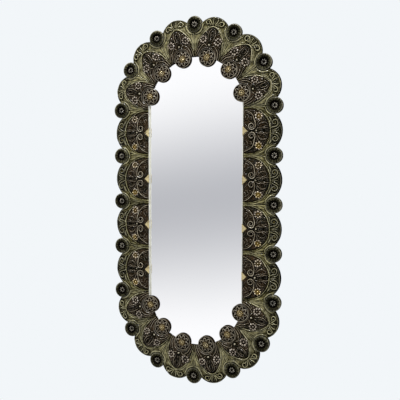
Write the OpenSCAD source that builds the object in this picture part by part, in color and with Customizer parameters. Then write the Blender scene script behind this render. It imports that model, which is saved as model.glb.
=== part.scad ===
// Wall mirror in a scalloped frame of glazed ceramic relief tiles, in millimetres.
// X runs to the right, Z up, and the mirror faces -Y. The origin is the middle of the back face of
// the board, which hangs flat against the wall.
// Each piece is drawn lying on its back and then stood up. Lying down, x runs along the frame, y
// outwards from the edge of the opening, and z is the distance from the wall.

/* [Layout] */
// Width of one side tile along the frame
tile_pitch = 200; // [190:1:215]
// Number of tiles along each straight side
side_tiles = 4; // [2:1:5]
// Half the width of the opening between the tiles
sight_half = 215; // [208:1:230]
// From the edge of the opening out to the centres of the rosettes
ring_offset = 132; // [128:1:138]

/* [Board and mirror] */
// Thickness of the plywood board
board_t = 18; // [16:1:24]
// From the edge of the board out to the centres of the rosettes
board_inset = 31; // [26:1:40]
// Thickness of the mirror glass
glass_t = 4; // [3:0.5:6]
// Play around the edge of the glass
glass_play = 0.5; // [0.2:0.1:1.5]

/* [Gilt liner] */
// Thickness of the upright wall of the liner
liner_wall = 1.5; // [1:0.1:3]
// How far the lip of the liner reaches in over the glass
liner_lip = 4.7; // [3:0.1:8]
// Thickness of the lip
lip_t = 1.5; // [1:0.1:2.5]
// Height of the liner above the glass
liner_rise = 11; // [6:0.5:13]
// Gap between the liner and the tiles
liner_gap = 0.3; // [0.2:0.1:1]
// Gap between the ends of the liner and the medallions beside them
liner_stop = 2; // [1:0.5:4]

/* [Tiles] */
// Thickness of the flat slab of a tile
slab_t = 12; // [10:0.5:16]
// Gap between neighbouring tiles
joint_gap = 1; // [0.6:0.1:2]
// Height of the domed field above the slab
dome_rise = 9; // [7:0.5:12]
// Radius of the sphere that the domed field is cut from
dome_r = 600; // [540:10:800]
// Radius of the wire of the rims and scrolls
wire_r = 2.2; // [1.6:0.1:2.6]
// How far the ears under a rosette stay inside its edge
ear_inset = 1.5; // [0.5:0.1:3]

/* [Side tile] */
// Reach of the lobe of a side tile past the edge of the opening
side_reach = 162; // [156:1:168]
// Radius of the lobe of a side tile
side_lobe_r = 91; // [86:1:95]
// Height of the arch above the edge of the opening
arch_top = 115; // [110:1:119]
// From the arch to the joints on either side
arch_gap = 5; // [4:0.5:8]
// Depth of the notch in the inner edge
notch_depth = 19; // [14:0.5:20]
// Half the width of the notch in the inner edge
notch_half = 18; // [14:0.5:20]
// Gap around the gilt dart in its notch
dart_gap = 0.4; // [0.3:0.1:1]
// Thickness of the gilt dart where it crosses the liner
dart_bridge_t = 2.6; // [2:0.1:4]

/* [End tile] */
// Reach of the lobe of an end tile past the edge of the opening
end_reach = 167; // [162:1:172]
// Radius of the lobe of an end tile
end_lobe_r = 72; // [68:1:76]
// Height of the petal above the edge of the opening
petal_top = 127; // [122:1:132]
// Half the width of the petal at its widest
petal_half = 58; // [54:0.5:59]
// Height at which the petal is widest
petal_wide_y = 34; // [30:1:40]
// Radius of the round tip of the petal
petal_tip_r = 26; // [20:1:30]

/* [Rosettes and medallions] */
// Radius of a rosette
rosette_r = 34; // [31:0.5:35]
// Radius of the dark cup in a rosette
cup_r = 19; // [17:0.5:22]
// Thickness of the floor of the cup
cup_floor = 3; // [2:0.5:5]
// Height of a rosette
rosette_h = 11; // [9:0.5:14]
// Radius of a medallion
medallion_r = 36.5; // [33:0.5:38]
// Radius of the circle that the medallions stand on
medallion_ring = 214; // [210:1:222]
// Gap between the glass and the underside of a medallion
medallion_lift = 4; // [1:0.5:6]
// Gap around a medallion in the pocket of its tile
pocket_gap = 0.8; // [0.5:0.1:2]
// Thickness of the base of a medallion
medallion_base = 5; // [4:0.5:7]
// Height of the domed face of a medallion above its base
medallion_rise = 4.5; // [3:0.5:6]
// Number of petal rings in a medallion
medallion_petals = 8; // [6:1:9]

/* [Hanging plates] */
// Distance between the keyholes of the two hanging plates
hanger_spacing = 400; // [300:10:440]
// Height of the keyholes above the middle of the mirror
hanger_height = 360; // [200:10:400]
// Length of a hanging plate
plate_l = 64; // [60:1:80]
// Width of a hanging plate
plate_w = 26; // [24:1:34]
// Thickness of a hanging plate
plate_t = 2; // [1.5:0.5:3]
// Radius of the round entry of the keyhole
key_r = 5.25; // [5:0.25:6]
// Half the width of the slot above it
key_slot_r = 2.75; // [2.25:0.25:3.5]
// From the entry up to the end of the slot
key_travel = 12; // [10:1:14]
// Depth of the pocket for the wall screw's head
key_pocket = 8; // [6:1:10]
// Radius of the wood screws that hold the plates
screw_r = 2; // [1.5:0.25:2.25]
// Length of the wood screws
screw_l = 14; // [12:0.5:15]

/* [Hidden] */
$fn = 96;
end_tiles = 6;
wedge = 180 / end_tiles;
half_wedge = wedge / 2;
end_z = side_tiles * tile_pitch / 2;
ring_r = sight_half + ring_offset;
cut = 1;

// Distances from the wall
glass_front = board_t + glass_t;
slab_top = board_t + slab_t;
dome_top = slab_top + dome_rise;
seat_top = glass_front + medallion_lift;
dart_top = glass_front + liner_rise + dart_gap + dart_bridge_t;
side_rim_z = slab_top + 1.8;
end_rim_z = slab_top + 4.2;

// The rims lie this far inside the edges that they follow
rim_inset = 0.6;

// Distances from the middle of the opening, and radii that follow from them
wall_r = sight_half - liner_gap - liner_wall;
ear_r = rosette_r - ear_inset;
board_r = ring_r - board_inset;

// Top of the dome, above the edge of the opening
side_dome_y = 30;
end_dome_y = 60;

// Relief of a side tile: flowers, volutes, and the tails that sweep down to the joints
side_flower = [58, 67];
side_flower_r = 15;
volute = [21, 38];
volute_r = 13.5;
eye_r = 6.5;
tail = [36, 5];
tail_r = 46;
bud = [24, 51];
side_bead_y = 61;
bead_r = 3.4;
spray = [14, 88];
spray_lean = 35;
side_palmette_y = 138;

// Relief of an end tile: flowers, two arcs on each side of the medallion, and small rings in the
// petal's tip
end_flower = [31.5, 69];
end_flower_r = 15;
end_bead_y = 52;
halo_radii = [43, 51];
tip_rings = [[0, 111, 8.5], [9, 92, 6], [-9, 92, 6]];
end_palmette_y = 144;

// Palmettes on the lobes
scroll_r = 9.5;
scroll_x = 25;
leaf_l = 27;
leaf_w = 9;
leaf_rise = 1.5;

flower_petals = 8;
rosette_flower_r = 10.5;
plate_gap = 0.3;
plate_corner = 4;
screw_gap = 0.05;
head_r = 2 * screw_r;
screw_margin = 7;

// Joints between the tiles, clockwise from the left of the top: [height of the arc's centre, turn]
joints = concat(
  [for (i = [0 : end_tiles]) [end_z, 90 - i * wedge]],
  [for (i = [1 : side_tiles - 1]) [end_z - i * tile_pitch, -90]],
  [for (i = [0 : end_tiles]) [-end_z, -90 - i * wedge]],
  [for (i = [1 : side_tiles - 1]) [-end_z + i * tile_pitch, 90]]);

function arc(middle, r, from, to, steps) =
  [for (i = [0 : steps]) let (a = from + (to - from) * i / steps) middle + r * [cos(a), sin(a)]];
function flip(points) = [for (i = [len(points) - 1 : -1 : 0]) [-points[i].x, points[i].y]];

// Corners of the opening at distance r from its middle line: straight sides, and ends that are half
// of a polygon with an edge across each joint
function opening(r) =
  [for (side = [1, -1], i = [0 : end_tiles - 1])
    let (a = (side > 0 ? 0 : 180) + half_wedge + i * wedge)
      [0, side * end_z] + r / cos(half_wedge) * [cos(a), sin(a)]];

// Angle, seen from the middle of a lobe, that keeps a rim of radius r clear of a rosette at the point ear
function rim_from(r, ear) =
  let (far = norm(ear), clear = rosette_r + wire_r + joint_gap)
    atan2(ear.y, ear.x) + acos((r * r + far * far - clear * clear) / (2 * r * far));

module upright() { rotate([90, 0, 0]) children(); }

// Places of the tiles. What is placed is drawn outwards from the edge of the opening.
module at_side(side, i)
  upright() translate([0, end_z - (i - 0.5) * tile_pitch]) rotate(-90 * side)
    translate([0, sight_half]) children();
module at_end(side, i)
  upright() translate([0, side * end_z]) rotate(90 - side * (i - 0.5) * wedge)
    translate([0, sight_half]) children();

// Stands a flat feature on the dome at the point p, square to it. A ring of radius r lies on it all round.
module on_dome(p, dome_y, r = 0) {
  off = p - [0, dome_y];
  turn = atan2(off.y, off.x);
  translate([0, dome_y, dome_top - dome_r]) rotate(turn) rotate([0, asin(norm(off) / dome_r), 0]) rotate(-turn)
    translate([0, 0, sqrt(dome_r * dome_r - r * r)]) children();
}
module dome(dome_y) {
  translate([0, dome_y, dome_top - dome_r]) sphere(dome_r);
}
module both_sides() {
  for (s = [0, 1]) mirror([s, 0, 0]) children();
}

// Round wire bent to an arc
module wire(r, from, to, thick = wire_r) {
  rotate(from) rotate_extrude(angle = to - from) translate([r, 0]) circle(thick);
}
module ring(r, thick) {
  rotate_extrude() translate([r, 0]) circle(thick);
}

// Flat leaf, pointed at both ends
module leaf(length, width, rise) {
  bend = (length * length + width * width) / (4 * width);
  translate([0, 0, -rise]) linear_extrude(2 * rise) intersection() {
    translate([width / 2 - bend, 0]) circle(bend);
    translate([bend - width / 2, 0]) circle(bend);
  }
}

// Petals are beads round a larger bead
module flower(r) {
  petal_r = 0.27 * r;
  for (i = [0 : flower_petals - 1]) rotate(i * 360 / flower_petals) translate([r - petal_r, 0]) sphere(petal_r);
  sphere(0.3 * r);
}

module palmette(y) {
  both_sides() translate([scroll_x, y, slab_top]) wire(scroll_r, -50, 210, 0.8 * wire_r);
  translate([0, y, slab_top]) leaf(leaf_l, leaf_w, leaf_rise);
}

// Side tiles
module notch(gap = 0) {
  flank = norm([notch_half, notch_depth]);
  tip = notch_depth - gap * flank / notch_half;
  foot = tip * notch_half / notch_depth;
  polygon([[-foot, 0], [foot, 0], [0, tip]]);
}

module side_outline() {
  half = (tile_pitch - joint_gap) / 2;
  intersection() {
    union() {
      translate([-half, 0]) square([2 * half, ring_offset - ear_r / 2]);
      translate([0, side_reach - side_lobe_r]) circle(side_lobe_r);
      for (s = [-1, 1]) translate([s * tile_pitch / 2, ring_offset]) circle(ear_r);
    }
    translate([-half, 0]) square([2 * half, 2 * ring_offset]);
  }
}

// The arch is a circle that the opening cuts off
arch_r = tile_pitch / 2 - arch_gap;
arch_y = arch_top - arch_r;
module arch_outline() {
  intersection() {
    translate([0, arch_y]) circle(arch_r);
    translate([-arch_r, 0]) square([2 * arch_r, arch_top + cut]);
  }
}

module side_rims() {
  arch_rim_r = arch_r - wire_r - rim_inset;
  foot = asin((arch_y - 2 * wire_r) / arch_rim_r);
  lobe_y = side_reach - side_lobe_r;
  lobe_rim_r = side_lobe_r - wire_r - rim_inset;
  start = rim_from(lobe_rim_r, [tile_pitch / 2, ring_offset - lobe_y]);
  translate([0, arch_y, side_rim_z]) wire(arch_rim_r, -foot, 180 + foot);
  translate([0, lobe_y, slab_top]) wire(lobe_rim_r, start, 180 - start);
}

module side_relief() {
  both_sides() {
    on_dome(tail, side_dome_y, tail_r) wire(tail_r, 4, 100);
    on_dome(bud, side_dome_y) sphere(1.4 * wire_r);
    on_dome(volute, side_dome_y, volute_r) wire(volute_r, 97, 375);
    on_dome(volute, side_dome_y, eye_r) wire(eye_r, 120, 390, 0.8 * wire_r);
    on_dome(volute, side_dome_y) sphere(wire_r);
    on_dome(side_flower, side_dome_y) flower(side_flower_r);
    on_dome(spray, side_dome_y) rotate(-spray_lean) leaf(leaf_l, leaf_w, leaf_rise);
  }
  on_dome([0, side_bead_y], side_dome_y) sphere(bead_r);
  on_dome([0, spray.y], side_dome_y) leaf(leaf_l, leaf_w, leaf_rise);
  palmette(side_palmette_y);
}

module side_tile() {
  color([0.35, 0.34, 0.22]) union() {
    translate([0, 0, board_t]) linear_extrude(slab_t) difference() {
      side_outline();
      notch();
    }
    intersection() {
      translate([0, 0, board_t]) linear_extrude(slab_t + dome_rise + cut) difference() {
        arch_outline();
        notch();
      }
      dome(side_dome_y);
    }
    side_rims();
    side_relief();
  }
}

// Each dart fills its notch, and its flared foot runs on over the wall of the liner
module gilt_darts() {
  flank = norm([notch_half, notch_depth]);
  edge_r = 1.5;
  run = 0.8 * flank;
  reach = liner_gap + liner_wall + dart_gap;
  tip = notch_depth - dart_gap * flank / notch_half;
  wide = (tip + reach) * notch_half / notch_depth;
  color([0.80, 0.65, 0.36]) for (side = [-1, 1], i = [1 : side_tiles]) at_side(side, i) union() {
    translate([0, 0, board_t]) linear_extrude(dart_top - board_t) notch(dart_gap);
    translate([0, 0, dart_top - dart_bridge_t]) linear_extrude(dart_bridge_t)
      polygon([[-wide, -reach], [wide, -reach], [0, tip]]);
    for (s = [0, 1]) mirror([s, 0, 0]) translate([0, notch_depth - 3 * edge_r, dart_top])
      rotate(atan2(-notch_depth, notch_half)) rotate([0, 90, 0]) cylinder(h = run, r = edge_r);
  }
}

// End tiles
module wedge_outline(reach) {
  half_gap = joint_gap / 2 / cos(half_wedge);
  side_at = function (y) (sight_half + y) * tan(half_wedge) - half_gap;
  low = sight_half * (cos(half_wedge) - 1);
  edge = sight_half / cos(half_wedge) - sight_half;
  polygon([[0, edge], [side_at(low), low], [side_at(reach), reach], [-side_at(reach), reach], [-side_at(low), low]]);
}

module end_outline() {
  ear = ring_r * [sin(half_wedge), cos(half_wedge)] - [0, sight_half];
  intersection() {
    union() {
      wedge_outline(ear.y - ear_r / 2);
      translate([0, end_reach - end_lobe_r]) circle(end_lobe_r);
      for (s = [-1, 1]) translate([s * ear.x, ear.y]) circle(ear_r);
    }
    wedge_outline(2 * ring_offset);
  }
}

// The petal: two long flanks that meet in a round tip
petal_tip_y = petal_top - petal_tip_r;
petal_climb = petal_tip_y - petal_wide_y;
petal_narrow = petal_half - petal_tip_r;
petal_back = (petal_climb * petal_climb - petal_narrow * petal_narrow) / (2 * petal_narrow);
flank_r = petal_half + petal_back;
tip_angle = atan2(petal_climb, petal_back);
petal_foot = -12;
module petal_outline() {
  foot_angle = asin((petal_foot - petal_wide_y) / flank_r);
  flank = arc([-petal_back, petal_wide_y], flank_r, foot_angle, tip_angle, 10);
  tip = arc([0, petal_tip_y], petal_tip_r, tip_angle, 180 - tip_angle, 10);
  inner = [for (i = [1 : len(tip) - 2]) tip[i]];
  polygon(concat(flank, inner, flip(flank)));
}

module end_rims() {
  lobe_y = end_reach - end_lobe_r;
  rim_r = end_lobe_r - wire_r - rim_inset;
  ear = ring_r * [sin(half_wedge), cos(half_wedge)] - [0, sight_half + lobe_y];
  start = rim_from(rim_r, ear);
  foot = asin((petal_foot / 3 - petal_wide_y) / flank_r);
  translate([0, petal_tip_y, end_rim_z]) wire(petal_tip_r - wire_r - rim_inset, tip_angle, 180 - tip_angle, 0.9 * wire_r);
  both_sides() translate([-petal_back, petal_wide_y, end_rim_z])
    wire(flank_r - wire_r - rim_inset, foot, tip_angle, 0.9 * wire_r);
  translate([0, lobe_y, slab_top]) wire(rim_r, start, 180 - start);
}

module end_relief() {
  medallion_y = medallion_ring - sight_half;
  for (r = halo_radii) both_sides() on_dome([0, medallion_y], end_dome_y, r) wire(r, 20, 64, 0.8 * wire_r);
  both_sides() on_dome(end_flower, end_dome_y) flower(end_flower_r);
  on_dome([0, end_bead_y], end_dome_y) sphere(bead_r);
  for (t = tip_rings) on_dome([t.x, t.y], end_dome_y, t.z) ring(t.z, 0.7 * wire_r);
  palmette(end_palmette_y);
}

module end_tile() {
  color([0.38, 0.37, 0.24]) union() {
    difference() {
      union() {
        translate([0, 0, board_t]) linear_extrude(slab_t) end_outline();
        intersection() {
          translate([0, 0, board_t]) linear_extrude(slab_t + dome_rise + cut) intersection() {
            petal_outline();
            wedge_outline(ring_offset);
          }
          dome(end_dome_y);
        }
      }
      translate([0, medallion_ring - sight_half, seat_top]) cylinder(h = dome_top, r = medallion_r + pocket_gap);
    }
    end_rims();
    end_relief();
  }
}

// Rosettes cover the outer ends of the joints
module rosette() {
  middle = (rosette_r + cup_r) / 2;
  crown_r = 0.7 * (rosette_r - cup_r);
  color([0.30, 0.32, 0.22]) translate([0, 0, slab_top]) union() {
    rotate_extrude() union() {
      intersection() {
        translate([cup_r, 0]) square([rosette_r - cup_r, rosette_h]);
        translate([middle, rosette_h - crown_r]) circle(crown_r);
      }
      translate([cup_r, 0]) square([rosette_r - cup_r, rosette_h - crown_r]);
      square([cup_r + cut, cup_floor]);
    }
    translate([0, 0, cup_floor]) flower(rosette_flower_r);
  }
}

module at_joint(joint) {
  upright() translate([0, joint[0]]) rotate(joint[1]) translate([0, ring_r]) children();
}

// Medallions lie in the pockets of the end tiles and half overhang the glass
module medallion() {
  face_r = medallion_r - 2 * wire_r;
  ball_r = (face_r * face_r + medallion_rise * medallion_rise) / (2 * medallion_rise);
  petal_at = 0.6 * medallion_r;
  petal_r = 0.17 * medallion_r;
  centre_r = 0.25 * medallion_r;
  top = medallion_base + medallion_rise;
  color([0.30, 0.22, 0.18]) translate([0, medallion_ring - sight_half, seat_top]) union() {
    rotate_extrude() union() {
      square([medallion_r, medallion_base]);
      translate([medallion_r - wire_r, medallion_base]) circle(wire_r);
      intersection() {
        translate([0, top - ball_r]) circle(ball_r);
        translate([0, medallion_base / 2]) square([face_r, top]);
      }
    }
    translate([0, 0, top - ball_r]) for (i = [0 : medallion_petals - 1])
      rotate((i + 0.5) * 360 / medallion_petals) rotate([0, asin(petal_at / ball_r), 0])
        translate([0, 0, sqrt(ball_r * ball_r - petal_r * petal_r)]) ring(petal_r, 0.22 * petal_r);
    translate([0, 0, top]) ring(centre_r, 0.2 * centre_r);
    translate([0, 0, top]) sphere(centre_r / 2);
  }
}

// Board, mirror and liner
module keyhole(grow) {
  circle(key_r + grow);
  translate([0, key_travel]) circle(key_slot_r + grow);
  translate([-key_slot_r - grow, 0]) square([2 * (key_slot_r + grow), key_travel]);
}
module plate_outline(grow) {
  long = plate_l / 2 - plate_corner;
  wide = plate_w / 2 - plate_corner;
  translate([0, key_travel / 2]) union() {
    for (x = [-wide, wide], y = [-long, long]) translate([x, y]) circle(plate_corner + grow);
    square([2 * wide, plate_l + 2 * grow], center = true);
    square([plate_w + 2 * grow, 2 * long], center = true);
  }
}
module at_hangers() {
  for (s = [-1, 1]) upright() translate([s * hanger_spacing / 2, hanger_height]) children();
}
module at_screws() {
  for (s = [-1, 1]) translate([0, key_travel / 2 + s * (plate_l / 2 - screw_margin)]) children();
}
module screw_shape(grow, length) {
  cylinder(h = plate_t, r1 = head_r + grow, r2 = screw_r + grow);
  cylinder(h = length, r = screw_r + grow);
}

module back_panel() {
  head_room = key_r + 1.5;
  color([0.55, 0.42, 0.28]) difference() {
    upright() linear_extrude(board_t) union() {
      for (s = [-1, 1]) translate([0, s * end_z]) circle(board_r);
      square([2 * board_r, 2 * end_z], center = true);
    }
    at_hangers() {
      translate([0, 0, -cut]) linear_extrude(plate_t + cut) plate_outline(plate_gap);
      linear_extrude(plate_t + key_pocket) union() {
        for (y = [0, key_travel]) translate([0, y]) circle(head_room);
        translate([-head_room, 0]) square([2 * head_room, key_travel]);
      }
      at_screws() cylinder(h = screw_l + plate_gap, r = screw_r + screw_gap);
    }
  }
}

// The glass fills the opening at the round ends and stops at the liner on the sides
module mirror_glass() {
  color([0.80, 0.84, 0.86]) upright() translate([0, 0, board_t]) linear_extrude(glass_t) intersection() {
    polygon(opening(sight_half - glass_play));
    square([2 * (wall_r - glass_play), 2 * (end_z + sight_half)], center = true);
  }
}

// One straight strip of liner on each side: an upright wall, and a lip over the glass
module liner_sides() {
  half = end_z + medallion_ring * sin(half_wedge) - medallion_r - liner_stop;
  color([0.86, 0.80, 0.62]) for (s = [0, 1]) mirror([s, 0, 0]) upright() union() {
    translate([wall_r, -half, board_t]) cube([liner_wall, 2 * half, glass_t + liner_rise]);
    translate([wall_r - liner_lip, -half, glass_front]) cube([liner_wall + liner_lip, 2 * half, lip_t]);
  }
}

module hanger_plates() {
  color([0.62, 0.63, 0.65]) at_hangers() difference() {
    linear_extrude(plate_t) difference() {
      plate_outline(0);
      keyhole(0);
    }
    at_screws() translate([0, 0, -screw_gap]) screw_shape(2 * screw_gap, screw_l);
  }
}
module hanger_screws() {
  color([0.70, 0.70, 0.70]) at_hangers() at_screws() difference() {
    screw_shape(0, screw_l);
    translate([-head_r, -screw_r / 5, -cut]) cube([2 * head_r, 2 * screw_r / 5, cut + plate_t / 2]);
  }
}

back_panel();
mirror_glass();
liner_sides();
gilt_darts();
hanger_plates();
hanger_screws();
for (i = [1 : side_tiles]) {
  at_side(-1, i) side_tile();
  at_side(1, i) side_tile();
}
for (i = [1 : end_tiles]) {
  at_end(1, i) end_tile();
  at_end(-1, i) end_tile();
  at_end(1, i) medallion();
  at_end(-1, i) medallion();
}
for (i = [1 : len(joints)])
  at_joint(joints[i - 1]) rosette();
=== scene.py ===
"""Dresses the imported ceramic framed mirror: relief tiles, rosettes, medallions, glazes, light and camera.

The frame hangs on the wall plane Y = 0 and faces -Y. A tile's own lengths are in millimetres: u runs
along the frame, v outwards from the edge of the opening, and t is the distance from the wall.
"""
import math

import bpy
import numpy as np
from mathutils import Matrix, Vector
from mathutils.geometry import delaunay_2d_cdt


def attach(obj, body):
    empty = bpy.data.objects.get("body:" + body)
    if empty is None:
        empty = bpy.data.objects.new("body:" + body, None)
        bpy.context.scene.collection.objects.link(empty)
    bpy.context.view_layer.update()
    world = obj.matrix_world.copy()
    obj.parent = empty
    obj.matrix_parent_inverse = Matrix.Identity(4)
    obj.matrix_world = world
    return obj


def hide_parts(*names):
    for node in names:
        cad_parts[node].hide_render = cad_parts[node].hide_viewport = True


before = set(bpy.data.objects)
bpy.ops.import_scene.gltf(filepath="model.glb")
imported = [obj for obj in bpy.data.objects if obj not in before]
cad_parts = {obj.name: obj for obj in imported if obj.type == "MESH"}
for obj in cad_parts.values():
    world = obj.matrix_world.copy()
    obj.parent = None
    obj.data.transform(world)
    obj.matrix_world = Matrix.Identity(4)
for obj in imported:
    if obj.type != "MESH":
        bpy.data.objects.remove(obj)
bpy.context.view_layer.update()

MM = 0.001

# Sizes of the frame, in millimetres, as in the part's source
PITCH = 200.0
SIDE_TILES = 4
END_TILES = 6
SIGHT = 215.0
RING_OFFSET = 132.0
RING = SIGHT + RING_OFFSET
END_Z = SIDE_TILES * PITCH / 2
WEDGE = 180.0 / END_TILES
HALF_WEDGE = math.radians(WEDGE / 2)
JOINT_GAP = 1.0
BOARD_T = 18.0
SLAB_TOP = 30.0
DOME_TOP = 39.0
DOME_R = 600.0
SEAT_TOP = 26.0
POCKET_GAP = 0.8
ROSETTE_R = 34.0
EAR_R = 32.5
ROSETTE_H = 11.0
CUP_R = 19.0
MEDALLION_R = 36.5
MEDALLION_RING = 214.0
HIGHEST = 42.4
NOTCH_DEPTH = 19.0
NOTCH_HALF = 18.0
SIDE_LOBE_R = 91.0
SIDE_REACH = 162.0
ARCH_R = 95.0
ARCH_V = 20.0
END_LOBE_R = 72.0
END_REACH = 167.0
PETAL_TOP = 127.0
PETAL_HALF = 58.0
PETAL_WIDE_V = 34.0
PETAL_TIP_R = 26.0

# Middles of a rosette on a side tile's joint and on an end tile's, and of a medallion, as (u, v)
SIDE_EAR = (PITCH / 2, RING_OFFSET)
END_EAR = (RING * math.sin(HALF_WEDGE), RING * math.cos(HALF_WEDGE) - SIGHT)
SEAT = (0, MEDALLION_RING - SIGHT)

# Depths of the extra rings of points along a tile's rim, and how far apart its other points lie
RIM_RINGS = (0.45, 1.2, 2.4)
SPACING = 1.1

# What a piece's glaze is made of at each point, from 0 to 1. Light is not glaze but the share of painted
# highlight on raised strands, and lip is pale glaze with painted highlight in places. Level, from -1 to 1,
# and dusk come later
MASKS = ("field", "core", "bloom", "lustre", "light", "pearl", "ochre", "lip")


# Plane shapes: points are rows of (u, v)

def arc(centre, radius, start, end, steps=24):
    """Points on an arc, angles in degrees anticlockwise from +u."""
    a = np.radians(np.linspace(start, end, steps + 1))
    return np.stack([centre[0] + radius * np.cos(a), centre[1] + radius * np.sin(a)], 1)


def spiral(centre, start, turn, r_from, r_to, steps=40):
    """A scroll from radius r_from at angle start, through turn degrees, in to r_to."""
    s = np.linspace(0, 1, steps + 1)
    a = np.radians(start + turn * s)
    r = r_from + (r_to - r_from) * s
    return np.stack([centre[0] + r * np.cos(a), centre[1] + r * np.sin(a)], 1)


def curve(*points, steps=7):
    """A smooth line through the given points."""
    p = np.array(points, float)
    p = np.vstack([2 * p[0] - p[1], p, 2 * p[-1] - p[-2]])
    s = np.linspace(0, 1, steps, endpoint=False)[:, None]
    parts = []
    for a, b, c, d in zip(p[:-3], p[1:-2], p[2:-1], p[3:]):
        parts.append(0.5 * (2 * b + (c - a) * s + (2 * a - 5 * b + 4 * c - d) * s ** 2
                            + (3 * b - a - 3 * c + d) * s ** 3))
    return np.vstack(parts + [p[-2:-1]])


def flipped(points):
    return np.stack([-points[:, 0], points[:, 1]], 1)[::-1]


def leftward(directions):
    """Unit vectors at right angles to the given directions, on their left."""
    turned = np.stack([-directions[:, 1], directions[:, 0]], 1)
    return turned / np.linalg.norm(directions, axis=1)[:, None]


def meet(c0, r0, c1, r1):
    """The upper one of the two points where two circles meet."""
    d = np.subtract(c1, c0)
    far = np.linalg.norm(d)
    along = (r0 * r0 - r1 * r1 + far * far) / (2 * far)
    off = math.sqrt(r0 * r0 - along * along)
    foot = c0 + d * along / far
    side = np.array([-d[1], d[0]]) / far
    return max((foot + side * off, foot - side * off), key=lambda p: p[1])


def angle_of(centre, point):
    """Direction of a point from a centre, 0 to 360 degrees."""
    return math.degrees(math.atan2(point[1] - centre[1], point[0] - centre[0])) % 360


def resample(outline, step):
    """A closed outline with extra points, so that no edge is longer than step."""
    out = []
    for p, q in zip(outline, np.roll(outline, -1, axis=0)):
        n = max(1, math.ceil(np.linalg.norm(q - p) / step))
        out += [p + (q - p) * i / n for i in range(n)]
    return np.array(out)


def near_line(points, line):
    """Distance from each point to a line of points, and where along it the nearest place is, 0 to 1."""
    best = np.full(len(points), 1e9)
    where = np.zeros(len(points))
    lengths = np.linalg.norm(np.diff(line, axis=0), axis=1)
    start = np.concatenate([[0], np.cumsum(lengths)])
    for p, q, length, run in zip(line[:-1], line[1:], lengths, start[:-1]):
        if length < 1e-9:
            continue
        d = (q - p) / length
        rel = points - p
        along = np.clip(rel @ d, 0, length)
        gap = np.hypot(rel[:, 0] - along * d[0], rel[:, 1] - along * d[1])
        closer = gap < best
        best = np.where(closer, gap, best)
        where = np.where(closer, (run + along) / start[-1], where)
    return best, where


def inside(points, outline):
    """Which points lie inside a closed outline."""
    result = np.zeros(len(points), bool)
    u, v = points[:, 0], points[:, 1]
    for p, q in zip(outline, np.roll(outline, -1, axis=0)):
        crosses = (p[1] > v) != (q[1] > v)
        if p[1] != q[1]:
            at = p[0] + (v - p[1]) * (q[0] - p[0]) / (q[1] - p[1])
            result ^= crosses & (u < at)
    return result


def beyond(points, outline):
    """Distance from each point to a closed outline, negative inside it."""
    d, _ = near_line(points, np.vstack([outline, outline[:1]]))
    return np.where(inside(points, outline), -d, d)


def smooth(x, low, high):
    s = np.clip((x - low) / (high - low), 0, 1)
    return s * s * (3 - 2 * s)


def round_top(d, half):
    """Section of a round bead: 1 in the middle, 0 at half."""
    return np.sqrt(np.clip(1 - (d / half) ** 2, 0, 1))


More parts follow.
